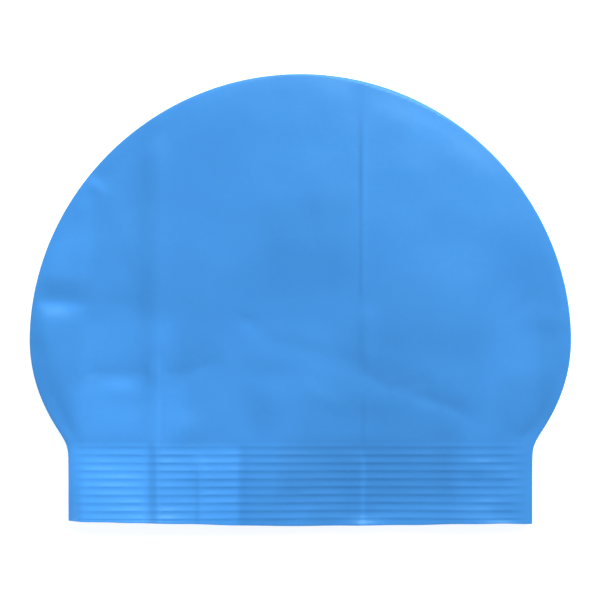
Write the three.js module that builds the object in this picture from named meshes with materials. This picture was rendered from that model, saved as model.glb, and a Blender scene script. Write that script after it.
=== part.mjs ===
// A blue latex swim cap lying flat, as it lies when it is put down by itself: one moulded rubber skin, hollow,
// with an open mouth, a band of ten raised ribs above the rim, and the creases left by storing it folded.
//
// Millimetres. The cap lies on the plane z = 0. +X is across the cap, +Y runs from the mouth to the top of the crown,
// +Z is up, out of the surface it lies on. The origin is under the middle of the cap's bounding box.
//
// The skin is made of rings. Each ring goes round the cap at one station y: over the upper layer from the left fold to
// the right one, and back along the lower layer. The rings close at the top of the crown and stay open at the mouth.

import * as THREE from "three";

// ---- outline, seen from above -----------------------------------------------------------------------------------
const HALF_WIDTH = 110.0; // half of the cap's greatest width
const CROWN_RISE = 108.0; // from the widest line up to the top of the crown
const CROWN_POWER = 1.95; // how full the crown's curve is; 2 is an ellipse
const CROWN_FALL = 79.1; // semi-axis of the curve that the sides follow below the widest line
const FALL_POWER = 2.14; // how full that curve is
const BAND_HALF = 94.25; // half width of the straight ribbed band
const NECK_SOFTNESS = 1.55; // how gently the curve runs into the straight band
const Y_TOP = 91.8; // top of the crown
const Y_WIDE = Y_TOP - CROWN_RISE; // the widest line
const Y_RIM = -91.3; // the rim where it is straight

// ---- height, seen from the side ---------------------------------------------------------------------------------
const WALL = 1.35; // thickness of the rubber
const FOLD_Z = 3.0; // height of the side folds, where the upper layer turns into the lower one
const FOLD_UP = 5.9; // how far the fold's turn rises above that ...
const FOLD_IN = 0.8; // ... and how far in from the silhouette
const FOLD_UNDER = 1.5; // the same inwards, below
const FOLD_INSIDE = 0.8; // and inside the hollow
const SWELL_CROWN = 2.4; // what the upper layer rises further, towards the middle of the crown
const SWELL_RIM = 2.2; // and at the mouth
const SWELL_REACH = 15.0; // over about this distance from the silhouette

// ---- ribs of the band: each rises slowly from the crown's side and falls faster to the rim's -----------------------
const RIB_COUNT = 10;
const RIB_PITCH = 3.225;
const RIB_FIRST_Y = -59.1; // crest of the topmost rib
const RIB_HEIGHT = 0.25;
const RIB_UP = 2.0; // from a crest up to where the rib meets the skin
const RIB_DOWN = 1.25; // and down
const RIB_ALONG = [ // share of the height at some x: the ribs stop short of both folds
  { x: -92, share: 0 },
  { x: -84, share: 1 },
  { x: -24, share: 1 },
  { x: -22, share: 0.85 },
  { x: 84, share: 0.8 },
  { x: 92, share: 0 },
];

// ---- the hand-cut rim isn't straight: its y at some x --------------------------------------------------------------
const RIM = [
  { x: -94, y: -89.3 },
  { x: -79, y: -89.5 },
  { x: -68, y: -90.1 },
  { x: -45, y: -90.6 },
  { x: -24, y: -91.3 },
  { x: 0, y: -91.4 },
  { x: 26, y: -91.2 },
  { x: 45, y: -91.1 },
  { x: 66, y: -90.4 },
  { x: 80, y: -90.3 },
  { x: 94, y: -90.6 },
];
const RIM_REACH = 3.2; // the stretch above the rim that follows its line

// ---- dents of the upper layer: a soft hollow (or, with a positive height, a soft hump) --------------------------------
const DENTS = [
  { x: 8.4, y: 40.2, rx: 30.3, ry: 22.8, turn: 0, height: 1.44 }, // the crown's own hump
  { x: 44, y: 55.8, rx: 17.3, ry: 11.2, turn: -35, height: 0.51 },
  { x: -43.1, y: 76.7, rx: 19.5, ry: 15.4, turn: 30, height: 0.4 },
  { x: 90.4, y: -0.7, rx: 16.6, ry: 18.4, turn: 20, height: -2.09 }, // near the right side
  { x: 48.1, y: -4.3, rx: 29.8, ry: 30.5, turn: 0, height: 2.27 }, // above the slanting crease
  { x: 77.8, y: -21.4, rx: 28.4, ry: 13.7, turn: 0, height: -0.77 },
  { x: -71, y: -38.1, rx: 28.6, ry: 15.9, turn: 0, height: -1.78 }, // the left side sags
  { x: -69.3, y: -11.3, rx: 24, ry: 26.1, turn: 0, height: -2.47 },
  { x: -14.9, y: -12.9, rx: 36.7, ry: 22.1, turn: 0, height: -1.2 },
  { x: -55.4, y: 39.7, rx: 35.1, ry: 38.8, turn: 0, height: -1.61 },
  { x: -84.1, y: -92.6, rx: 61.6, ry: 19.5, turn: 0, height: 3.5 }, // the rim lifts at the left
  { x: 26.2, y: -89.4, rx: 56.3, ry: 25.1, turn: 0, height: -3.5 }, // dips right of the middle
  { x: 72.9, y: -94.1, rx: 18.8, ry: 14.7, turn: 0, height: 3.17 }, // and lifts at the right
  { x: -9.8, y: -73.3, rx: 16.1, ry: 14, turn: 0, height: 1.62 },
  { x: 47.4, y: 31.1, rx: 19.9, ry: 20.2, turn: 0, height: 0.88 },
  { x: -54.1, y: 53.7, rx: 13.6, ry: 21.4, turn: 30, height: 0.67 },
  { x: -103.8, y: 17.5, rx: 9, ry: 11, turn: 10, height: 1.06 },
];

// ---- folds of the upper layer: a crease along a straight line, down (-) or up (+), with a flank on each side -----------
// "left" and "right" are the flanks' widths seen when looking from (x0, y0) to (x1, y1).
const FOLDS = [
  { x0: -58.8, y0: 70, x1: -58, y1: -96, height: 0.45, left: 5, right: 5 }, // stored folded in three: left crease
  { x0: 26, y0: 88, x1: 25, y1: -96, height: 0.35, left: 5, right: 5 }, // and right crease
  { x0: -92, y0: -29.7, x1: -30, y1: -27, height: -0.75, left: 6.5, right: 6.5 }, // crosswise crease, on the left
  { x0: 4, y0: -19.5, x1: 76, y1: -49, height: -0.5, left: 6, right: 6.5 }, // slanting crease
  { x0: -112.6, y0: -0.7, x1: -80, y1: -2.5, height: -1.2, left: 6.3, right: 5.5 }, // short wrinkle at the left side
  { x0: -107, y0: -16, x1: -93, y1: -56, height: -1.2, left: 5.6, right: 6.6 }, // the lower left side draws in
  { x0: 109, y0: -18, x1: 90, y1: -57, height: -1.1, left: 9, right: 5 }, // and the lower right one
];
const FOLD_END = 0.22; // each end of a fold fades over this share of its length
const RELIEF_FROM = 0.2; // dents and folds begin this far in from the silhouette ...
const RELIEF_FULL = 8.0; // ... and have their whole height from here on

// ---- where the skin is cut into facets, by distance from the silhouette ---------------------------------------------
const OVER_DEPTHS = [0, 0.12, 0.4, 0.9, 2, 4, 7, 11, 16, 21.5, 27.5, 34, 41, 48.5, 56.5, 64.5, 73, 82, 91, 100.5, 110];
const UNDER_DEPTHS = [0.3, 0.9, 1.8, 5, 14, 30, 60];
const CROWN_DEPTHS = [100, 86, 72, 59, 47, 37, 28, 20.5, 14, 9, 5.5, 3, 1.6, 0.8, 0.4, 0.14];
const ROWS_LOWER = 7; // rings from the widest line down to the band
const BAND_ROWS_INSIDE = [-79.5, -71, -64.5, -62, -60.2, -58.6]; // the hollow is plain inside the band

const { PI, sin, cos, sqrt, exp, log1p, abs, min, max, hypot, asin } = Math;
const clamp = (v, lo, hi) => min(hi, max(lo, v));
const smooth = (v, from, to) => {
  const t = clamp((v - from) / (to - from), 0, 1);
  return t * t * (3 - 2 * t);
};

// How far the ring at y has closed: 1 in the body of the cap, 0 at the top of the crown (or of the hollow in it).
const openness = (y, wall = 0) => sqrt(1 - clamp((y - Y_WIDE) / (CROWN_RISE - wall), 0, 1) ** CROWN_POWER);

// Half the cap's width at a station y.
function outerHalf(y) {
  if (y >= Y_WIDE) return HALF_WIDTH * openness(y);
  const fall = clamp((Y_WIDE - y) / CROWN_FALL, 0, 1);
  const side = HALF_WIDTH * (1 - fall * fall) ** (1 / FALL_POWER);
  // a soft maximum of the curve and the band, so that the neck is a smooth hollow curve
  return BAND_HALF + NECK_SOFTNESS * log1p(exp((side - BAND_HALF) / NECK_SOFTNESS));
}

// The same for the hollow inside a wall.
function halfWidth(y, wall = 0) {
  if (!wall) return outerHalf(y);
  if (y > Y_WIDE) return (HALF_WIDTH - wall) * openness(y, wall);
  const slope = min(1, abs(outerHalf(y + 0.05) - outerHalf(y - 0.05)) / 0.1);
  return outerHalf(y) - wall * sqrt(1 + slope * slope);
}

// How far inside the silhouette a place is: on a ring the way round it, in the crown the way to its top.
function depth(x, y, wall = 0) {
  const c = openness(y, wall);
  const m2 = clamp(1 - (x / max(halfWidth(y, wall), 1e-6)) ** 2, 0, 1) * c * c;
  return HALF_WIDTH * (1 - sqrt(1 - m2));
}

// The quarter turn of a fold: 0 at the silhouette, 1 from u = 1 on.
const turnOf = (u) => sqrt(1 - (1 - clamp(u, 0, 1)) ** 2);

const swell = (y) => SWELL_RIM + (SWELL_CROWN - SWELL_RIM) * smooth(y, Y_RIM, Y_WIDE + 5);

// The lower layer of the ribbed band stands on the crests of its ribs.
const bandLift = (y) => RIB_HEIGHT * (1 - smooth(y, RIB_FIRST_Y + 1, RIB_FIRST_Y + 12));

// Dents and folds of the upper layer.
function relief(x, y) {
  let z = 0;
  for (const d of DENTS) {
    const a = (d.turn * PI) / 180;
    const u = ((x - d.x) * cos(a) + (y - d.y) * sin(a)) / d.rx;
    const v = (-(x - d.x) * sin(a) + (y - d.y) * cos(a)) / d.ry;
    z += d.height * exp(-(u * u + v * v));
  }
  for (const f of FOLDS) {
    const length = hypot(f.x1 - f.x0, f.y1 - f.y0);
    const ux = (f.x1 - f.x0) / length;
    const uy = (f.y1 - f.y0) / length;
    const along = ((x - f.x0) * ux + (y - f.y0) * uy) / length;
    const off = -(x - f.x0) * uy + (y - f.y0) * ux; // positive to the left of the line
    const flank = off > 0 ? f.left : f.right;
    const ends = smooth(along, 0, FOLD_END) * (1 - smooth(along, 1 - FOLD_END, 1));
    z += f.height * ends * exp(-((off / flank) ** 2));
  }
  return z;
}

// Height of the upper layer past its fold, at depth d.
const sheet = (x, y, d) =>
  FOLD_Z + FOLD_UP + swell(y) * (1 - exp(-d / SWELL_REACH)) + relief(x, y) * smooth(d, RELIEF_FROM, RELIEF_FULL);

// Heights of the four surfaces: the upper and lower layer, outside and inside.
const upperOutside = (x, y) => {
  const d = depth(x, y);
  return sheet(x, y, d) - FOLD_UP * (1 - turnOf(d / FOLD_IN));
};
const lowerOutside = (x, y) => {
  const low = bandLift(y);
  return low + (FOLD_Z - low) * (1 - turnOf(depth(x, y) / FOLD_UNDER));
};
const upperInside = (x, y) => {
  const d = depth(x, y, WALL);
  return FOLD_Z + (sheet(x, y, d + WALL) - WALL - FOLD_Z) * turnOf(d / FOLD_INSIDE);
};
const lowerInside = (x, y) => {
  const low = WALL + bandLift(y);
  return low + (FOLD_Z - low) * (1 - turnOf(depth(x, y, WALL) / FOLD_INSIDE));
};

// Straight steps between a table's rows.
function between(table, x, key) {
  const i = table.findIndex((row) => row.x > x);
  if (i === 0) return table[0][key];
  if (i < 0) return table.at(-1)[key];
  const [a, b] = [table[i - 1], table[i]];
  return a[key] + ((b[key] - a[key]) * (x - a.x)) / (b.x - a.x);
}

// How far the ribs raise the surface at a place.
function ribs(x, y) {
  const k = clamp(Math.round((RIB_FIRST_Y - y) / RIB_PITCH), 0, RIB_COUNT - 1);
  const off = y - (RIB_FIRST_Y - k * RIB_PITCH);
  const form = max(0, 1 - abs(off) / (off > 0 ? RIB_UP : RIB_DOWN));
  return RIB_HEIGHT * form * between(RIB_ALONG, x, "share");
}

// Moves a place near the rim so that the last ring follows the rim's line.
function trimmed(p, y) {
  const share = 1 - smooth(y, Y_RIM, Y_RIM + RIM_REACH);
  p.y += (between(RIM, p.x, "y") - Y_RIM) * share;
  return p;
}

// A point of the skin. angle runs from -90 degrees at the left fold over the upper layer to +90 at the right fold, and
// on to +270 back along the lower layer.
function outer(y, angle) {
  const x = halfWidth(y) * sin(angle);
  const z = cos(angle) >= -1e-9 ? upperOutside(x, y) + ribs(x, y) : lowerOutside(x, y) - ribs(x, y);
  return trimmed(new THREE.Vector3(x, y, z < 1e-6 ? 0 : z), y); // the lower layer lies on the plane
}
function inner(station, angle) {
  const y = min(station, Y_WIDE) + (max(station, Y_WIDE) - Y_WIDE) * (1 - WALL / CROWN_RISE);
  const x = halfWidth(y, WALL) * sin(angle);
  const z = cos(angle) >= -1e-9 ? upperInside(x, y) : lowerInside(x, y);
  return trimmed(new THREE.Vector3(x, y, z), station);
}

// ---- stations of the rings, from the mouth to the crown -----------------------------------------------------------
const outerRows = [Y_RIM];
for (let k = RIB_COUNT - 1; k >= 0; k--) {
  const crest = RIB_FIRST_Y - k * RIB_PITCH;
  outerRows.push(crest - RIB_DOWN, crest);
}
const yBand = RIB_FIRST_Y + RIB_UP;
const innerRows = [Y_RIM, Y_RIM + RIM_REACH, ...BAND_ROWS_INSIDE];
const bodyRows = [];
for (let i = 0; i <= ROWS_LOWER; i++) bodyRows.push(yBand + ((Y_WIDE - yBand) * i) / ROWS_LOWER);
for (const d of CROWN_DEPTHS) bodyRows.push(Y_WIDE + CROWN_RISE * (1 - d / HALF_WIDTH));
outerRows.push(...bodyRows);
innerRows.push(...bodyRows);

// ---- angles of a ring's points: over the upper layer, then back along the lower one --------------------------------
// In the body they stand where the depths are those of the tables, near the top of the crown they are evenly spread.
const angleAt = (d) => asin(1 - d / HALF_WIDTH);
const over = [...OVER_DEPTHS.map((d) => -angleAt(d)), ...OVER_DEPTHS.slice(0, -1).reverse().map(angleAt)];
const under = [
  ...UNDER_DEPTHS.map((d) => PI - angleAt(d)),
  PI,
  ...UNDER_DEPTHS.slice().reverse().map((d) => PI + angleAt(d)),
];
const evenOver = over.map((_, j) => -PI / 2 + (PI * j) / (over.length - 1));
const evenUnder = under.map((_, j) => PI / 2 + (PI * (j + 1)) / (under.length + 1));
const fixed = [...over, ...under];
const even = [...evenOver, ...evenUnder];
const anglesAt = (y) => {
  const share = 1 - openness(y);
  return fixed.map((a, j) => a + (even[j] - a) * share);
};

// ---- the skin: outer rings and their top point, inner rings and theirs, and the lip of the rim between them ---------
function latexSkin() {
  const points = [];
  const faces = [];
  const n = fixed.length;
  const ring = (place, y) => {
    const first = points.length;
    for (const a of anglesAt(y)) points.push(place(y, a));
    return first;
  };
  const quad = (a, b, c, d) => faces.push(a, b, c, a, c, d);
  const outerRings = outerRows.map((y) => ring(outer, y));
  const innerRings = innerRows.map((y) => ring(inner, y));
  const outerTop = points.push(new THREE.Vector3(0, Y_TOP, FOLD_Z)) - 1;
  const innerTop = points.push(new THREE.Vector3(0, Y_TOP - WALL, FOLD_Z)) - 1;
  for (let j = 0; j < n; j++) {
    const k = (j + 1) % n;
    for (let i = 0; i + 1 < outerRings.length; i++)
      quad(outerRings[i] + j, outerRings[i] + k, outerRings[i + 1] + k, outerRings[i + 1] + j);
    for (let i = 0; i + 1 < innerRings.length; i++)
      quad(innerRings[i] + k, innerRings[i] + j, innerRings[i + 1] + j, innerRings[i + 1] + k);
    faces.push(outerRings.at(-1) + j, outerRings.at(-1) + k, outerTop);
    faces.push(innerRings.at(-1) + k, innerRings.at(-1) + j, innerTop);
    quad(innerRings[0] + j, innerRings[0] + k, outerRings[0] + k, outerRings[0] + j);
  }
  const geometry = new THREE.BufferGeometry().setFromPoints(points);
  geometry.setIndex(faces);
  geometry.computeVertexNormals();
  return geometry;
}

const latex = new THREE.MeshStandardMaterial({ color: 0x4b99e6, roughness: 0.42, metalness: 0 });

const cap = new THREE.Group();
const skinMesh = new THREE.Mesh(latexSkin(), latex);
skinMesh.name = "cap_shell";
cap.add(skinMesh);

export default cap;
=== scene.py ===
"""Looks of a blue latex swim cap that lies flat on a pale floor, seen from straight above.

The skin is one moulded piece, so it is one mesh: rings at stations of y run from the mouth to the crown, over the upper
layer from the left fold to the right one and back along the lower layer, outside and inside, joined by a rounded rim.
Lengths are millimetres up to the last step, which turns them into metres. +X across, +Y to the crown, +Z up.
"""

import math

import bpy
import numpy as np
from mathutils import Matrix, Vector


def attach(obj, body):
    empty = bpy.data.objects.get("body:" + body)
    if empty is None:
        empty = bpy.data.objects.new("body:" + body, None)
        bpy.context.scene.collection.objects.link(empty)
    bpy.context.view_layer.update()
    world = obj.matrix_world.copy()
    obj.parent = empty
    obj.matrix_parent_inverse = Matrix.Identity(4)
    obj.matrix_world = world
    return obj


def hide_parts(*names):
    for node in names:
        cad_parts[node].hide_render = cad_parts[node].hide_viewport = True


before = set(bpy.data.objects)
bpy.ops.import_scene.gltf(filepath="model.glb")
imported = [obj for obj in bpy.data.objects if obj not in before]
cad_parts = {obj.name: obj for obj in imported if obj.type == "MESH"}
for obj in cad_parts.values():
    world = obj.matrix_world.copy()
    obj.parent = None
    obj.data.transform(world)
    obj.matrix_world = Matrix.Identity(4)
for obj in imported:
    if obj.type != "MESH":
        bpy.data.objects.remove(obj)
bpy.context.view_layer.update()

# ---- outline and height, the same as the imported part's --------------------------------------------------------------
HALF_WIDTH = 110.0
CROWN_RISE = 108.0
CROWN_POWER = 1.95
CROWN_FALL = 79.1
FALL_POWER = 2.14
BAND_HALF = 94.25
Y_TOP = 91.8
Y_WIDE = Y_TOP - CROWN_RISE
Y_RIM = -91.3
NECK_SOFTNESS = 1.55
FOLD_Z = 3.0  # height of the side folds
FOLD_UP = 5.9  # the fold's turn: how far it rises above FOLD_Z ...
FOLD_IN = 0.8  # ... and how far in from the silhouette
FOLD_UNDER = 1.5  # the same inwards, below
SWELL_CROWN = 2.4  # what the upper layer rises further, to the middle of the crown
SWELL_RIM = 2.2  # and at the mouth
SWELL_REACH = 15.0
WALL = 0.75  # the skin that shows is thinner than the solid that carries it

RIB_COUNT = 10
RIB_PITCH = 3.225
RIB_FIRST_Y = -59.1
RIB_HEIGHT = 0.25
RIB_UP = 2.0
RIB_DOWN = 1.25
RIB_ALONG = [  # x, share of the height: the ribs stop short of both folds and are lower on the right
    (-92, 0), (-87, 0.8), (-80, 1), (-65, 1), (-61.5, 0.5), (-58.5, 0.6), (-55, 1), (-42.5, 1), (-41, 0.6), (-38, 1),
    (-27, 1), (-23, 0.85), (70, 0.85), (84, 0.8), (91, 0.1), (93, 0),
]

RIM = [  # the hand-cut rim: its y at some x
    (-94, -89.3), (-79, -89.4), (-68, -89.7), (-45, -90.2), (-24, -91.0), (0, -91.4),
    (26, -91.2), (45, -91.1), (66, -90.4), (80, -90.3), (94, -90.6),
]
RIM_REACH = 3.2

# ---- the upper layer's dents: place, half sizes, turn in degrees, height ----------------------------------------------
DENTS = [
    # x, y, rx, ry, turn, height
    (8.4, 40.2, 30.3, 22.8, 0, 1.44),
    (44, 55.8, 17.3, 11.2, -35, 0.51),
    (-0.8, 66.8, 13.9, 12.8, 0, 0.28),
    (-43.1, 76.7, 19.5, 15.4, 30, 0.4),
    (90.4, -0.7, 16.6, 18.4, 20, -2.09),
    (95.5, -6.3, 13.8, 6.6, 0, 0.17),
    (48.1, -4.3, 29.8, 30.5, 0, 2.27),
    (77.8, -21.4, 28.4, 13.7, 0, -0.77),
    (-71, -38.1, 28.6, 15.9, 0, -1.78),
    (-84.1, -92.6, 61.6, 19.5, 0, 3.5),
    (26.2, -89.4, 56.3, 25.1, 0, -3.5),
    (72.9, -94.1, 18.8, 14.7, 0, 2.7),
    (-69.3, -11.3, 24, 26.1, 0, -2.47),
    (-87.8, 20.7, 12.9, 7.9, 10, 0.42),
    (-14.9, -12.9, 36.7, 22.1, 0, -1.2),
    (-55.4, 39.7, 35.1, 38.8, 0, -1.61),
    (-21.5, -46.3, 8.2, 19.1, 0, -1.23),
    (47.4, 31.1, 19.9, 20.2, 0, 0.88),
    (-70.6, 12.4, 3.2, 5.9, 10, -0.17),
    (-71.9, -2, 6.6, 3.8, 0, -0.2),
    (-10.5, -30.3, 10.3, 6, 0, -0.54),
    (-21.2, -9.5, 6, 3.3, -40, -0.21),
    (-71.9, -37.2, 10.5, 4.3, 0, 0.51),
    (-45.8, -51.8, 6.3, 6.1, 0, 0.68),
    (57.8, -56, 5.8, 3.6, 0, -0.24),
    (48.9, -33.8, 4.4, 3.6, 0, -0.14),
    (-60.1, 73.5, 4, 4.3, 0, 0.57),
    (-86.4, 48.2, 5.8, 3.3, -35, 0.71),
    (36.5, 73.7, 11.6, 3.9, -20, 0.09),
    (56.8, 61.4, 14.2, 6.6, -35, 0.24),
    (-103.8, 17.5, 8, 11, 10, 1.06),
    (-87.2, 37.7, 8, 7.6, 0, 0.34),
    (106.4, -16.7, 10.1, 28.1, 0, 1.19),
    (107.8, 11, 2.7, 17.4, 0, 2.2),
    (-109, -35.9, 12.8, 44.9, 0, 1.88),
    (-54.1, 53.7, 13.6, 21.4, 30, 0.67),
    (-75.1, -63.3, 16.3, 7.9, 0, -0.66),
    (-61.2, -83.7, 15.3, 6.6, 0, -0.62),
    (-36.4, -70.2, 13.9, 5.5, 0, 0.54),
    (-9.8, -73.3, 16.1, 14, 0, 1.62),
    (46.7, -77.1, 17.6, 8.6, 0, 0.36),
    (71.9, -68.3, 5.5, 4.5, 0, 0.55),
    (81.7, -70.7, 3.6, 3.4, 0, 0.32),
    (68.2, -82.3, 5.8, 4.2, 0, -0.09),
    (82.1, -88.8, 6.7, 5.5, 0, -1.1),
    (25.4, -91.9, 8.4, 3.1, 0, 1.31),
]

# ---- its folds: a line through points, height, width on the left and on the right of the way it runs, share that fades at
# the start and at the end, and its profile ("round" or "sharp") --------------------------------------------------------
FOLDS = [
    ([(-58.3, 72), (-59.1, 0), (-58.3, -56.8), (-57.8, -69.1), (-56, -92.2)], 0.5, 4.6, 6.0, 0.1, 0, "round"),
    ([(-57.3, -16.7), (-56.5, -60.9)], -0.2, 2, 4.9, 0.2, 0.2, "round"),
    ([(23.5, 89.7), (22.5, 68.2)], -0.11, 3, 5.1, 0.2, 0.4, "round"),
    ([(26, 78.3), (25.2, -3.9)], 0.12, 1.6, 1.5, 0.12, 0.12, "sharp"),
    ([(26.9, -0.4), (25.6, -29.8)], 0.32, 3.6, 2.2, 0.25, 0.3, "round"),
    ([(26.3, -37.2), (26.6, -59.6)], 0.05, 1.7, 2, 0.3, 0.3, "round"),
    ([(-88.9, -29.7), (-59.7, -30.1)], -0.67, 5.4, 5, 0.2, 0.15, "sharp"),
    ([(-58, -29.1), (-46.4, -29.1), (-35.4, -25.5), (-28.6, -22.7)], -0.8, 6.6, 5.6, 0.15, 0.4, "sharp"),
    ([(6.3, -20.3), (20.1, -25.5), (34.3, -31.1), (46, -35.2), (58.8, -40.9), (72.4, -48.1)], -0.4, 5.4, 6.1, 0.2, 0.3, "round"),
    ([(42.5, -39.1), (50.1, -40.4), (59.4, -42.4), (73.7, -51.5)], -0.17, 3.5, 2.9, 0.3, 0.3, "round"),
    ([(-112.6, -0.7), (-96, -1.2), (-81.1, -2.5)], -1.25, 6.3, 5, 0, 0.5, "round"),
    ([(-84.5, 51.4), (-76.6, 40), (-69.8, 24.4), (-64.7, 15.1)], 0.24, 4.8, 4.7, 0.2, 0.4, "round"),
    ([(-19.6, -16.7), (0.4, -19.8), (17.4, -25.3)], -0.3, 3.5, 5.5, 0.3, 0.4, "round"),
    ([(-2.1, -31.4), (7.5, -38.3), (19.6, -44.9)], 0.13, 3.1, 2.8, 0.3, 0.3, "round"),
    ([(79.4, -12.4), (90, -2.7), (99.7, 5.3)], -0.13, 3.3, 3.7, 0.3, 0.3, "round"),
    ([(-108.5, -13.7), (-105.9, -33.3), (-96.8, -53.2), (-87.1, -54.7)], -1.27, 5.6, 6.6, 0.2, 0.2, "round"),
    ([(111.2, -19.9), (104.5, -38.6), (94.8, -53.8), (82, -57)], -1.21, 9.2, 4.2, 0.2, 0.3, "round"),
    ([(23.9, -59.3), (23.5, -95)], 0.42, 1.5, 6.1, 0.2, 0, "round"),
    ([(-41.8, -59.9), (-39.9, -95)], 0.34, 4.1, 2.9, 0.2, 0, "round"),
    ([(-23.8, -54.8), (-25.1, -95)], -0.5, 2.9, 4.9, 0.2, 0, "round"),
]

# ---- painted shade and painted highlights along the folds, darker in their valleys and on flanks turned from the light, paler
# on their lit flanks: points, half width, painted shading (below 0 is darker, above 0 paler), share that fades at the
# start and at the end ---
CREASE_SHADING = [
    ([(24.2, 90), (24.2, 68)], 3.0, -0.2, 0.3, 0.3),
    ([(24.3, 75), (24.2, 34)], 0.72, -0.6, 0.1, 0.3),
    ([(24.3, 72), (24.2, 30), (24.2, -3)], 0.66, -0.6, 0.2, 0.1),
    ([(26.3, 76), (26.3, -1)], 0.9, 0.2, 0.2, 0.3),
    ([(24.6, -3), (24.8, -30)], 2.4, -0.25, 0.3, 0.3),
    ([(25.4, -36), (25.4, -60)], 0.9, -0.3, 0.3, 0.2),
    ([(-62, 80), (-62.3, 0), (-61.5, -58)], 4.2, -0.3, 0.06, 0.1),
    ([(-57.3, -10), (-57.3, -60)], 0.9, 0.35, 0.3, 0.1),
    ([(-58, -56), (-57.4, -72), (-56.8, -94)], 0.9, 0.8, 0.1, 0),
    ([(-60.4, -56), (-59.6, -94)], 1.3, -0.35, 0.1, 0),
    ([(-41.9, -62), (-41.5, -94)], 0.8, -0.8, 0.3, 0),
    ([(25.6, -58), (25.6, -94)], 1.0, 0.6, 0.3, 0),
    ([(12, -23), (18, -24.6), (24, -28.2), (30, -30), (35, -33.2), (41, -34), (46, -36.8), (52, -37.8), (57, -41.6), (63, -43), (72, -49)], 2.3, -0.55, 0.35, 0.3),
    ([(40, -41), (50, -42.5), (60, -44.5), (71, -52)], 2.2, 0.3, 0.35, 0.4),
    ([(-108, -1.8), (-96, -2.6), (-80, -3.6)], 2.0, 1.2, 0.15, 0.6),
    ([(-107, 5), (-94, 5.2), (-80, 6.5)], 4.0, -0.15, 0.2, 0.6),
    ([(-88, 52), (-82, 47), (-76, 40)], 1.7, 0.9, 0.35, 0.5),
    ([(-94, -34.5), (-76, -35.3), (-60, -34.5)], 2.0, 0.15, 0.5, 0.4),
    ([(-82, -33.8), (-64, -33.8)], 1.9, 0.5, 0.35, 0.35),
    ([(-88, -27), (-62, -27.3)], 3.0, -0.15, 0.4, 0.3),
    ([(-57, -29), (-46, -29), (-36, -26)], 2.6, -0.3, 0.3, 0.5),
    ([(-27, -8), (-20, -12), (-15, -17)], 3.0, 0.4, 0.4, 0.4),
    ([(-29, -4.5), (-17, -7.5)], 1.5, -0.25, 0.4, 0.4),
]

# ---- soft patches of painted light and shade, paler where the skin would catch more light or sheen, darker where it would catch less: x from, to, y from, to, softness, painted shading ---
PATCH_SHADING = [
    (-94, -61, -95, -59, 5, 1.75),
    (-57, -25, -95, -59, 2.5, 0.95),
    (-8, 62, -80, -57, 10, -0.8),
    (4, 30, -96, -82, 8, -0.6),
    (56, 92, -95, -57, 10, -0.3),
    (-92, -46, -58, -34, 9, 0.85),
    (-88, -50, -30, -8, 9, 0.7),
    (12, 76, -48, -10, 15, -0.4),
    (0, 66, -60, -40, 9, -0.4),
    (30, 82, -20, 14, 14, -0.3),
    (-14, 20, 2, 40, 12, -0.3),
    (-108, -84, 9, 50, 7, 0.65),
    (44, 66, 64, 82, 9, 0.35),
    (2, 22, 34, 56, 10, -0.35),
    (86, 110, -14, 4, 9, -0.35),
    (80, 104, -56, -30, 9, -0.55),
    (96, 110, -50, -8, 6, -0.45),
]

# ---- view, light, colour ------------------------------------------------------------------------------------------
CAMERA_HEIGHT = 0.8175
CAMERA_AT = (-0.00016, -0.00008)
CAMERA_LENS = 120.0


def smooth(v, a, b):
    t = np.clip((np.asarray(v, float) - a) / (b - a), 0, 1)
    return t * t * (3 - 2 * t)


def half_width(y):
    y = np.asarray(y, float)
    top = HALF_WIDTH * openness(y)
    fall = np.clip((Y_WIDE - y) / CROWN_FALL, 0, 1)
    side = HALF_WIDTH * (1 - fall * fall) ** (1 / FALL_POWER)
    low = BAND_HALF + NECK_SOFTNESS * np.log1p(np.exp((side - BAND_HALF) / NECK_SOFTNESS))
    return np.where(y >= Y_WIDE, top, low)


def half_width_of(y, wall):
    """Half width of the hollow inside a wall, or of the outline without one."""
    if not wall:
        return half_width(y)
    e = 0.05
    slope = (half_width(y + e) - half_width(y - e)) / (2 * e)
    low = half_width(y) - wall * np.sqrt(1 + np.minimum(np.abs(slope), 1) ** 2)
    return np.where(np.asarray(y) <= Y_WIDE, low, (HALF_WIDTH - wall) * openness(y, wall))


def openness(y, wall=0.0):
    """The crown's half width over its greatest one; 1 below the widest place."""
    t = np.clip((np.asarray(y, float) - Y_WIDE) / (CROWN_RISE - wall), 0, 1)
    return np.sqrt(1 - t ** CROWN_POWER)


def swell(y):
    return SWELL_RIM + (SWELL_CROWN - SWELL_RIM) * smooth(y, Y_RIM, Y_WIDE + 5)


def loop(u):
    """Quarter turn of the fold: 0 at the silhouette, 1 from u = 1 on."""
    return np.sqrt(1 - (1 - np.clip(u, 0, 1)) ** 2)


def depth(x, y, wall=0.0):
    """How far inside the silhouette a place is; with a wall, inside the hollow's own outline."""
    c = openness(y, wall)
    w = half_width_of(y, wall)
    m2 = np.clip(1 - (x / np.maximum(w, 1e-6)) ** 2, 0, 1) * c * c
    return HALF_WIDTH * (1 - np.sqrt(1 - m2))


def band_lift(y):
    return RIB_HEIGHT * (1 - smooth(y, RIB_FIRST_Y + 1, RIB_FIRST_Y + 12))


def rim_y(x):
    xs, ys = np.array(RIM).T
    i = np.clip(np.searchsorted(xs, x), 1, len(xs) - 1)
    t = smooth(x, xs[i - 1], xs[i])
    return ys[i - 1] + (ys[i] - ys[i - 1]) * t


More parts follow.
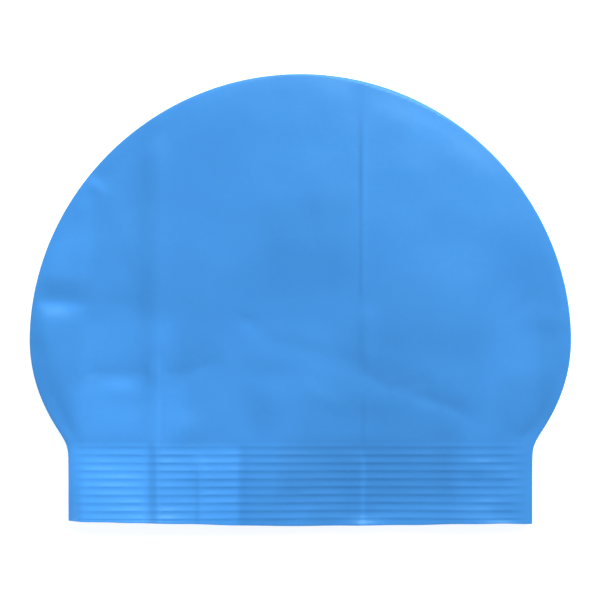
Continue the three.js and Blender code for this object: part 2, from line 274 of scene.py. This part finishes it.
def ribs(x, y):
    """How far the band's ribs raise the skin: each rises slowly from the crown's side and falls faster to the rim's."""
    k = np.clip(np.rint((RIB_FIRST_Y - y) / RIB_PITCH), 0, RIB_COUNT - 1)
    off = y - (RIB_FIRST_Y - k * RIB_PITCH)
    u = off / np.where(off > 0, RIB_UP, RIB_DOWN)
    form = np.clip(1 - np.sqrt(u * u + 0.008), 0, 1) ** 1.6
    xs, share = np.array(RIB_ALONG).T
    wave = 1 + 0.28 * np.sin(x * (0.17 + 0.023 * (k % 4)) + 2.1 * k) * np.sin(x * 0.071 + 1.3 * k)
    thin = np.where(k == 0, 0.6, 1.0)
    return RIB_HEIGHT * form * np.interp(x, xs, share) * wave * thin


def line_points(points, step=1.0):
    """The points of a smooth line through the given ones, with the share of its length at each."""
    p = np.array(points, float)
    if len(p) == 2:
        n = max(2, int(np.hypot(*(p[1] - p[0])) / step))
        t = np.linspace(0, 1, n)[:, None]
        q = p[0] * (1 - t) + p[1] * t
    else:
        a = np.vstack([2 * p[0] - p[1], p, 2 * p[-1] - p[-2]])
        q = []
        for i in range(1, len(a) - 2):
            n = max(2, int(np.hypot(*(a[i + 1] - a[i])) / step))
            t = np.linspace(0, 1, n, endpoint=i == len(a) - 3)[:, None]
            q.append(0.5 * (2 * a[i] + (a[i + 1] - a[i - 1]) * t
                            + (2 * a[i - 1] - 5 * a[i] + 4 * a[i + 1] - a[i + 2]) * t ** 2
                            + (3 * a[i] - a[i - 1] - 3 * a[i + 1] + a[i + 2]) * t ** 3))
        q = np.vstack(q)
    run = np.r_[0, np.cumsum(np.hypot(*np.diff(q, axis=0).T))]
    return q, run / run[-1]


def from_line(q, share, x, y):
    """Distance from a line, above 0 on its left, and the share of its length, at each place."""
    best = np.full(x.shape, 1e9)
    off = np.zeros(x.shape)
    along = np.zeros(x.shape)
    for i in range(len(q) - 1):
        d = q[i + 1] - q[i]
        length = math.hypot(*d)
        u = d / length
        t = np.clip(((x - q[i, 0]) * u[0] + (y - q[i, 1]) * u[1]) / length, 0, 1)
        dist = np.hypot(x - q[i, 0] - t * d[0], y - q[i, 1] - t * d[1])
        closer = dist < best
        side = np.sign(-(x - q[i, 0]) * u[1] + (y - q[i, 1]) * u[0])
        best = np.where(closer, dist, best)
        off = np.where(closer, dist * side, off)
        along = np.where(closer, share[i] + t * (share[i + 1] - share[i]), along)
    return off, along


def ends(along, fade_in, fade_out):
    """1 along a line, fading towards its ends."""
    start = smooth(along, 0, fade_in) if fade_in else 1
    return start * (1 - smooth(along, 1 - fade_out, 1) if fade_out else 1)


def relief(x, y):
    """Dents and folds of the upper layer."""
    x, y = np.broadcast_arrays(np.asarray(x, float), np.asarray(y, float))
    z = np.zeros_like(x)
    for dx, dy, rx, ry, turn, height in DENTS:
        a = math.radians(turn)
        u = ((x - dx) * math.cos(a) + (y - dy) * math.sin(a)) / rx
        v = (-(x - dx) * math.sin(a) + (y - dy) * math.cos(a)) / ry
        z = z + height * np.exp(-(u * u + v * v))
    for points, height, left, right, fade_in, fade_out, profile in FOLDS:
        q, share = line_points(points)
        reach = 4 * max(left, right)
        near = ((x > q[:, 0].min() - reach) & (x < q[:, 0].max() + reach)
                & (y > q[:, 1].min() - reach) & (y < q[:, 1].max() + reach))
        if not near.any():
            continue
        off, along = from_line(q, share, x[near], y[near])
        s = np.abs(off) / np.where(off > 0, left, right)
        form = np.exp(-s * s) if profile == "round" else np.exp(-(np.sqrt(s * s + 0.04) - 0.2))
        add = np.zeros_like(z)
        add[near] = height * form * ends(along, fade_in, fade_out)
        z = z + add
    return z


def painted_shading_at(x, y):
    """Painted shading at each place: painted shade and highlights along the folds and soft patches of painted light and
    shade.
    """
    painted_shading = np.zeros_like(x)
    for points, width, strength, fade_in, fade_out in CREASE_SHADING:
        q, share = line_points(points)
        reach = 4 * width
        near = ((x > q[:, 0].min() - reach) & (x < q[:, 0].max() + reach)
                & (y > q[:, 1].min() - reach) & (y < q[:, 1].max() + reach))
        off, along = from_line(q, share, x[near], y[near])
        painted_shading[near] += strength * np.exp(-(off / width) ** 2) * ends(along, fade_in, fade_out)
    for x0, x1, y0, y1, soft, strength in PATCH_SHADING:
        across = smooth(x, x0 - soft / 2, x0 + soft / 2) * (1 - smooth(x, x1 - soft / 2, x1 + soft / 2))
        along = smooth(y, y0 - soft / 2, y0 + soft / 2) * (1 - smooth(y, y1 - soft / 2, y1 + soft / 2))
        painted_shading = painted_shading + strength * across * along
    return painted_shading


def sheet(x, y, d):
    """Height of the upper layer past its fold, at depth d."""
    return FOLD_Z + FOLD_UP + swell(y) * (1 - np.exp(-d / SWELL_REACH)) + relief(x, y) * smooth(d, 0.2, 8)


def upper(x, y):
    d = depth(x, y)
    return sheet(x, y, d) - FOLD_UP * (1 - loop(d / FOLD_IN))


def lower(x, y):
    lift = band_lift(y)
    return lift + (FOLD_Z - lift) * (1 - loop(depth(x, y) / FOLD_UNDER))


def inner_upper(x, y):
    d = depth(x, y, WALL)
    flat = sheet(x, y, d + WALL) - WALL
    return FOLD_Z + (flat - FOLD_Z) * loop(d / 0.7)


def inner_lower(x, y):
    low = WALL + band_lift(y)
    return low + (FOLD_Z - low) * (1 - loop(depth(x, y, WALL) / 0.7))


# ---- stations ----------------------------------------------------------------------------------------------------
def rows_of(band_step, body_step, roll_rows):
    y0 = RIB_FIRST_Y + 2.5
    band = np.linspace(Y_RIM, y0, int(round((y0 - Y_RIM) / band_step)), endpoint=False)
    y1 = 74.0
    body = np.linspace(y0, y1, int(round((y1 - y0) / body_step)), endpoint=False)
    phi = np.linspace(math.asin((y1 - Y_WIDE) / CROWN_RISE), math.pi / 2, roll_rows, endpoint=False)
    return np.r_[band, body, Y_WIDE + CROWN_RISE * np.sin(phi)]


def columns_of(step, edge_columns, edge_from=101.0, fine=()):
    """Positions across the widest ring, from the left fold to the right one, closer together near the given lines."""
    inner = [-edge_from]
    while inner[-1] < edge_from - step * 0.6:
        near = min((abs(inner[-1] - f) for f in fine), default=99)
        inner.append(inner[-1] + step * (0.55 if near < 3.2 else 1.0))
    inner = np.array(inner)
    inner = -edge_from + (inner + edge_from) * (2 * edge_from) / (inner[-1] + edge_from)
    edge = np.linspace(edge_from, HALF_WIDTH, edge_columns + 1)[1:]
    return np.r_[-edge[::-1], inner, edge]


EDGE_SHARE = 0.92


def ring_angles(y, columns):
    """Angle of each column's point on the ring at y. Columns stay straight along y until they meet the rolled edge."""
    w = float(half_width(y))
    t = np.abs(columns) / w
    far = HALF_WIDTH / w
    a0 = math.asin(EDGE_SHARE)
    p = (far - EDGE_SHARE) / (math.cos(a0) * (math.pi / 2 - a0))
    q = np.clip((t - EDGE_SHARE) / (far - EDGE_SHARE), 0, 1)
    roll = a0 + (math.pi / 2 - a0) * q * p / (1 + q * (p - 1))
    angle = np.where(t <= EDGE_SHARE, np.arcsin(np.minimum(t, EDGE_SHARE)), roll)
    return np.sign(columns) * angle


def surface(rows, columns, under_columns, wall=0.0):
    """Grid of points, rows by ring points: over the upper layer from the left fold, then back along the lower layer."""
    pts = []
    for y in rows:
        over = ring_angles(y, columns)
        under = ring_angles(y, under_columns)[::-1][1:-1]
        if wall:
            y = min(y, Y_WIDE) + (max(y, Y_WIDE) - Y_WIDE) * (1 - wall / CROWN_RISE)
        w = float(half_width_of(y, wall))
        xo, xu = w * np.sin(over), w * np.sin(under)
        yo, yu = np.full(xo.shape, float(y)), np.full(xu.shape, float(y))
        zo = inner_upper(xo, yo) if wall else upper(xo, yo)
        zu = inner_lower(xu, yu) if wall else lower(xu, yu)
        pts.append(np.c_[np.r_[xo, xu], np.r_[yo, yu], np.r_[zo, zu]])
    return np.array(pts), len(columns)


def trimmed(pts, rows):
    share = 1 - smooth(np.asarray(rows), Y_RIM, Y_RIM + RIM_REACH)
    pts[..., 1] += (rim_y(pts[..., 0]) - Y_RIM) * share[:, None]
    return pts


def add_ribs(pts, n_over):
    r = ribs(pts[..., 0], pts[..., 1])
    pts[:, :n_over, 2] += r[:, :n_over]
    pts[:, n_over:, 2] -= r[:, n_over:]
    pts[..., 2] = np.where(pts[..., 2] < 1e-4, 0.0, pts[..., 2])
    return pts


# ---- the mesh -----------------------------------------------------------------------------------------------------
def build_skin():
    outer_rows = rows_of(0.26, 1.0, 22)
    outer_cols = columns_of(1.0, 20, fine=(-58, 25.5))
    under_cols = np.r_[-HALF_WIDTH, -109, -107.5, -105, np.linspace(-101, 101, 34), 105, 107.5, 109, HALF_WIDTH]
    outer, n_over = surface(outer_rows, outer_cols, under_cols)
    outer = trimmed(add_ribs(outer, n_over), outer_rows)

    inner_rows = rows_of(1.2, 3.0, 12)
    inner_cols = columns_of(2.6, 5)
    inner_under = np.r_[-HALF_WIDTH, -109, -107, -104, np.linspace(-101, 101, 24), 104, 107, 109, HALF_WIDTH]
    inner, _ = surface(inner_rows, inner_cols, inner_under, WALL)
    inner = trimmed(inner, inner_rows)

    points, faces = [], []

    def put(grid):
        first = len(points)
        points.extend(grid.reshape(-1, 3).tolist())
        return first + np.arange(grid.shape[0] * grid.shape[1]).reshape(grid.shape[:2])

    def skin(ids, flip):
        a, b = ids[:-1], np.roll(ids, -1, axis=1)[:-1]
        c, d = np.roll(ids, -1, axis=1)[1:], ids[1:]
        quads = np.stack([a, b, c, d] if not flip else [b, a, d, c], axis=-1).reshape(-1, 4)
        faces.extend(quads.tolist())

    o, i = put(outer), put(inner)
    skin(o, False)
    skin(i, True)
    top_o = len(points)
    points.append([0.0, Y_TOP, FOLD_Z])
    top_i = len(points)
    points.append([0.0, Y_TOP - WALL, FOLD_Z])
    for k in range(o.shape[1]):
        faces.append([int(o[-1, k]), int(o[-1, (k + 1) % o.shape[1]]), top_o])
    for k in range(i.shape[1]):
        faces.append([int(i[-1, (k + 1) % i.shape[1]]), int(i[-1, k]), top_i])

    # the rim: rings that turn round the cut edge, with the outer ring's columns, then a seam to the coarser inner ring
    edge_out = outer[0]
    edge_in = trimmed(surface(outer_rows[:1], outer_cols, under_cols, WALL)[0], outer_rows[:1])[0]
    last = o[0]
    for t in (0.15, 0.5, 0.85):
        p = edge_out * (1 - t) + edge_in * t
        p[:, 1] -= 0.16 * WALL * math.sin(math.pi * t)
        ids = put(p[None])[0]
        for k in range(len(ids)):
            n = (k + 1) % len(ids)
            faces.append([int(ids[k]), int(ids[n]), int(last[n]), int(last[k])])
        last = ids
    # zip: both rings start at the left fold and end there; the ring with the lower share of its way moves on
    def share(p):
        q = np.vstack([p, p[:1]])
        s = np.r_[0, np.cumsum(np.linalg.norm(np.diff(q, axis=0), axis=1))]
        return s / s[-1]

    sa, sb = share(np.array([points[j] for j in last])), share(np.array([points[j] for j in i[0]]))
    ia = ib = 0
    na, nb = len(last), i.shape[1]
    while ia < na or ib < nb:
        if ib >= nb or (ia < na and sa[ia + 1] <= sb[ib + 1]):
            faces.append([int(last[ia % na]), int(i[0, ib % nb]), int(last[(ia + 1) % na])])
            ia += 1
        else:
            faces.append([int(last[ia % na]), int(i[0, ib % nb]), int(i[0, (ib + 1) % nb])])
            ib += 1

    mesh = bpy.data.meshes.new("cap_skin")
    mesh.from_pydata((np.array(points) / 1000).tolist(), [], faces)
    mesh.validate(verbose=False)
    mesh.update()
    mesh.polygons.foreach_set("use_smooth", np.ones(len(mesh.polygons), bool))
    # painted shade and highlights, kept on the upper layer's points for the material to darken or lighten its colour
    shading_paint = mesh.attributes.new("painted_shading", "FLOAT", "POINT")
    p = np.array(points)
    painted_shading = np.where(p[:, 2] > 2 * WALL + 1.0, painted_shading_at(p[:, 0], p[:, 1]), 0.0)
    shading_paint.data.foreach_set("value", painted_shading.astype(np.float32))
    obj = bpy.data.objects.new("cap_skin", mesh)
    bpy.context.scene.collection.objects.link(obj)
    return obj


# ---- material --------------------------------------------------------------------------------------------------------
def node(tree, kind, **values):
    n = tree.nodes.new(kind)
    for key, value in values.items():
        if key in n.inputs:
            n.inputs[key].default_value = value
        else:
            setattr(n, key, value)
    return n


def latex():
    mat = bpy.data.materials.new("latex")
    mat.use_nodes = True
    t = mat.node_tree
    t.nodes.clear()
    out = t.nodes.new("ShaderNodeOutputMaterial")
    bsdf = t.nodes.new("ShaderNodeBsdfPrincipled")
    t.links.new(bsdf.outputs[0], out.inputs[0])
    bsdf.inputs["IOR"].default_value = 1.52
    bsdf.inputs["Specular IOR Level"].default_value = 0.37
    bsdf.inputs["Specular Tint"].default_value = (0.62, 1.0, 0.96, 1)
    bsdf.inputs["Subsurface Weight"].default_value = 0.0
    coords = t.nodes.new("ShaderNodeTexCoord")

    cloud = node(t, "ShaderNodeTexNoise", Scale=26.0, Detail=3.0, Roughness=0.5)
    mottle = node(t, "ShaderNodeTexNoise", Scale=420.0, Detail=4.0, Roughness=0.6)
    t.links.new(coords.outputs["Object"], cloud.inputs["Vector"])
    t.links.new(coords.outputs["Object"], mottle.inputs["Vector"])
    ramp = t.nodes.new("ShaderNodeValToRGB")
    ramp.color_ramp.elements[0].position = 0.3
    ramp.color_ramp.elements[0].color = (0.0580, 0.302, 0.802, 1)
    ramp.color_ramp.elements[1].position = 0.7
    ramp.color_ramp.elements[1].color = (0.0644, 0.327, 0.848, 1)
    t.links.new(cloud.outputs["Fac"], ramp.inputs["Fac"])
    mix = node(t, "ShaderNodeMix", data_type="RGBA", blend_type="OVERLAY")
    mix.inputs["Factor"].default_value = 0.05
    t.links.new(ramp.outputs["Color"], mix.inputs[6])
    t.links.new(mottle.outputs["Color"], mix.inputs[7])
    # painted shade and highlights: the base colour's value is scaled by 1 + 0.14 times the stored painted shading
    shading_reader = node(t, "ShaderNodeAttribute", attribute_name="painted_shading")
    value = node(t, "ShaderNodeMath", operation="MULTIPLY_ADD")
    value.inputs[1].default_value = 0.14
    value.inputs[2].default_value = 1.0
    t.links.new(shading_reader.outputs["Fac"], value.inputs[0])
    shading_paint = t.nodes.new("ShaderNodeHueSaturation")
    t.links.new(mix.outputs[2], shading_paint.inputs["Color"])
    t.links.new(value.outputs[0], shading_paint.inputs["Value"])
    t.links.new(shading_paint.outputs["Color"], bsdf.inputs["Base Color"])

    polish = node(t, "ShaderNodeTexNoise", Scale=45.0, Detail=3.0, Roughness=0.55)
    t.links.new(coords.outputs["Object"], polish.inputs["Vector"])
    rough = node(t, "ShaderNodeMapRange")
    rough.inputs["From Min"].default_value = 0.3
    rough.inputs["From Max"].default_value = 0.7
    rough.inputs["To Min"].default_value = 0.29
    rough.inputs["To Max"].default_value = 0.34
    t.links.new(polish.outputs["Fac"], rough.inputs["Value"])
    t.links.new(rough.outputs["Result"], bsdf.inputs["Roughness"])

    # the skin's grain, over slack areas a few centimetres across
    slack = node(t, "ShaderNodeTexNoise", Scale=34.0, Detail=1.0, Roughness=0.5)
    t.links.new(coords.outputs["Object"], slack.inputs["Vector"])
    slack_bump = node(t, "ShaderNodeBump", Strength=1.0, Distance=0.0011)
    t.links.new(slack.outputs["Fac"], slack_bump.inputs["Height"])
    fine = node(t, "ShaderNodeTexNoise", Scale=900.0, Detail=3.0, Roughness=0.5)
    t.links.new(coords.outputs["Object"], fine.inputs["Vector"])
    bump = node(t, "ShaderNodeBump", Strength=0.08, Distance=0.0002)
    t.links.new(fine.outputs["Fac"], bump.inputs["Height"])
    t.links.new(slack_bump.outputs["Normal"], bump.inputs["Normal"])
    t.links.new(bump.outputs["Normal"], bsdf.inputs["Normal"])
    return mat


skin = build_skin()
skin.data.materials.append(latex())
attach(skin, "root")
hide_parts("cap_shell")
print("cap_skin faces", len(skin.data.polygons), "triangles", sum(len(p.vertices) - 2 for p in skin.data.polygons))

# ---- floor -----------------------------------------------------------------------------------------------------------
floor_mesh = bpy.data.meshes.new("floor")
s = 4.0
floor_mesh.from_pydata([(-s, -s, 0), (s, -s, 0), (s, s, 0), (-s, s, 0)], [], [(0, 1, 2, 3)])
floor = bpy.data.objects.new("floor", floor_mesh)
bpy.context.scene.collection.objects.link(floor)
floor.location.z = -0.00005
floor_mat = bpy.data.materials.new("floor")
floor_mat.use_nodes = True
fb = floor_mat.node_tree.nodes["Principled BSDF"]
fb.inputs["Base Color"].default_value = (0.93, 0.93, 0.93, 1)
fb.inputs["Roughness"].default_value = 0.9
fb.inputs["Specular IOR Level"].default_value = 0.1
fb.inputs["Emission Color"].default_value = (1, 1, 1, 1)
fb.inputs["Emission Strength"].default_value = 0.72
floor.data.materials.append(floor_mat)

# ---- light ------------------------------------------------------------------------------------------------------------
world = bpy.data.worlds.new("world")
world.use_nodes = True
world.node_tree.nodes["Background"].inputs["Color"].default_value = (1, 1, 1, 1)
world.node_tree.nodes["Background"].inputs["Strength"].default_value = 0.33
bpy.context.scene.world = world


def area(name, azimuth, elevation, distance, size, watts):
    """A square soft light that looks at the origin. Azimuth is measured from +X towards +Y."""
    light = bpy.data.lights.new(name, "AREA")
    light.shape = "SQUARE"
    light.size = size
    light.energy = watts
    obj = bpy.data.objects.new(name, light)
    a, e = math.radians(azimuth), math.radians(elevation)
    place = Vector((math.cos(a) * math.cos(e), math.sin(a) * math.cos(e), math.sin(e))) * distance
    obj.location = place
    obj.rotation_mode = "QUATERNION"
    obj.rotation_quaternion = (-place).to_track_quat("-Z", "Y")
    bpy.context.scene.collection.objects.link(obj)
    return obj


area("key", 70, 42, 3.6, 2.8, 147.2)

# ---- camera: straight above ------------------------------------------------------------------------------------------
cam = bpy.data.cameras.new("camera")
cam.lens = CAMERA_LENS
cam.sensor_width = 36.0
cam_obj = bpy.data.objects.new("camera", cam)
cam_obj.location = (*CAMERA_AT, CAMERA_HEIGHT)
bpy.context.scene.collection.objects.link(cam_obj)
bpy.context.scene.camera = cam_obj
bpy.context.scene.view_settings.view_transform = "Standard"
